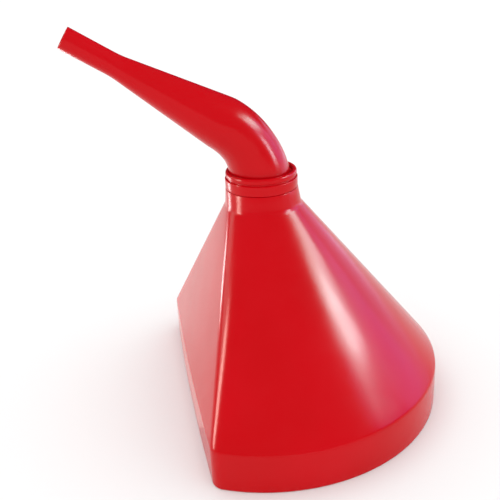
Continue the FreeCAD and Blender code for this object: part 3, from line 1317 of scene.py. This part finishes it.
@dataclass
class Studio:
    """Pale floor, soft light and the camera.

    Attributes:
        azimuth: Direction from the target to the camera, from -Y towards +X, in degrees.
        elevation: Angle of the camera above the target, in degrees.
        roll: Turn of the camera about its own view line, in degrees.
        distance: Distance from the target to the camera, in metres.
        target: Point that the camera faces.
        lens: Focal length in millimetres.
        sensor: Width of the sensor in millimetres.
        nearest: Distance at which the camera starts to see, in metres.
        floor_radius: Radius of the floor, in metres.
        floor_sides: Number of the floor's sides.
        well_radius: Radius of the floor's opening under the mouth.
        well_middle: Place of the opening's middle on X.
        floor_height: Height of the floor, just under the rim.
        sky: Radiance of the sky that lights the funnel.
        gloss_sky: Colour of the sky in the funnel's gloss.
        lamps: The lamps that show in the gloss.
    """

    azimuth: float = -9.6
    elevation: float = 24.09
    roll: float = -2.89
    distance: float = 0.5735
    target: Vector = field(default_factory=lambda: Vector((-0.010887, 0, 0.11922)))
    lens: float = 55.06
    sensor: float = 36.0
    nearest: float = 0.01
    floor_radius: float = 40.0
    floor_sides: int = 64
    well_radius: float = 0.09
    well_middle: float = 0.033
    floor_height: float = -0.0003
    sky: float = 1.2
    gloss_sky: tuple[float, float, float, float] = (0.02, 0.025, 0.06, 1.0)
    lamps: tuple[Softbox, ...] = (
        Softbox("window", 78, 31, 3.0, 1.4, 0.6, 26.0, (0.55, 1.0, 0.92)),
        Softbox("window_glow", 84, 27, 3.0, 2.4, 1.2, 1.6, (0.8, 0.9, 1.2)),
        Softbox("spout_window", 66.4, 20.4, 0.39, 0.08, 0.1, 26.0, (0.7, 1.0, 1.0)),
        Softbox("right_wall", 108, 8, 1.0, 1.1, 0.44, 1.7, (0.75, 0.85, 1.4)),
        Softbox("blue_sky", 82, 18, 2.0, 1.8, 1.0, 1.5, (0.2, 0.3, 1.7)),
        Softbox("left_window", -134, -12, 0.35, 0.07, 0.11, 15.0, aim=(-0.025, -0.01, 0.162)),
        Softbox("left_lamp", -88, 5, 0.5, 0.11, 0.24, 30.0, (1.0, 0.9, 0.8), (-0.02, -0.018, 0.161)),
        Softbox("left_wall", -112, 15, 1.0, 0.4, 0.3, 3.4, (0.6, 1.0, 0.92)),
        Softbox("floor_card", 0, -90, 0.997, 0.5, 0.6, 0.3, (1.0, 0.95, 0.85), (-0.3, 0.25, 1.0)),
    )

    def build(self) -> None:
        """Set up the floor, the light and the camera."""
        self.build_floor()
        self.build_light()
        self.build_camera()

    def build_floor(self) -> None:
        """Lay the floor, open under the mouth so that the inside has light from below."""
        mesh = bpy.data.meshes.new("studio_floor")
        sides = self.floor_sides
        spots = []
        for radius, middle in ((self.well_radius, self.well_middle), (self.floor_radius, 0.0)):
            for side in range(sides):
                angle = side * TURN / sides
                x, y = middle + radius * math.cos(angle), radius * math.sin(angle)
                spots.append((x, y, self.floor_height))
        faces = []
        for side in range(sides):
            following = (side + 1) % sides
            faces.append((side, side + sides, following + sides, following))
        mesh.from_pydata(spots, [], faces)
        mesh.materials.append(StudioFloor().build())
        floor = bpy.data.objects.new("studio_floor", mesh)
        bpy.context.scene.collection.objects.link(floor)

    def build_light(self) -> None:
        """Light the sky and set the lamps."""
        world = bpy.data.worlds.new("studio_sky")
        world.use_nodes = True
        world.node_tree.nodes.clear()
        graph = Graph(world.node_tree)
        open_sky = graph.out("ShaderNodeBackground", None, {
            "Color": (1.0, 1.0, 1.0, 1.0), "Strength": self.sky})
        gloss_sky = graph.out("ShaderNodeBackground", None, {"Color": self.gloss_sky})
        sky = graph.out("ShaderNodeMixShader", None, {
            0: graph.out("ShaderNodeLightPath", output="Is Glossy Ray"), 1: open_sky, 2: gloss_sky})
        graph.add("ShaderNodeOutputWorld", None, {"Surface": sky})
        bpy.context.scene.world = world
        for lamp in self.lamps:
            lamp.build()
        bpy.context.scene.view_settings.view_transform = "Standard"

    def build_camera(self) -> None:
        """Place the camera."""
        data = bpy.data.cameras.new("studio_camera")
        data.sensor_width = self.sensor
        data.lens = self.lens
        data.clip_start = self.nearest
        camera = bpy.data.objects.new("studio_camera", data)
        turn = Euler((math.radians(90 - self.elevation), 0, math.radians(self.azimuth))).to_matrix()
        rolled = turn @ Matrix.Rotation(math.radians(self.roll), 3, "Z")
        back = turn @ Vector((0, 0, self.distance))
        camera.matrix_world = Matrix.Translation(self.target + back) @ rolled.to_4x4()
        bpy.context.scene.collection.objects.link(camera)
        bpy.context.scene.camera = camera


def main() -> None:
    """Build the pieces and the studio."""
    logging.basicConfig(level=logging.INFO, format="%(name)s: %(message)s")
    kit = Kit()
    for piece in (FunnelShell(), Spout(), Collar(), Seal(), StrainerFrame(), StrainerGauze()):
        piece.dress(kit)
    Studio().build()


if __name__ == "__main__":
    main()
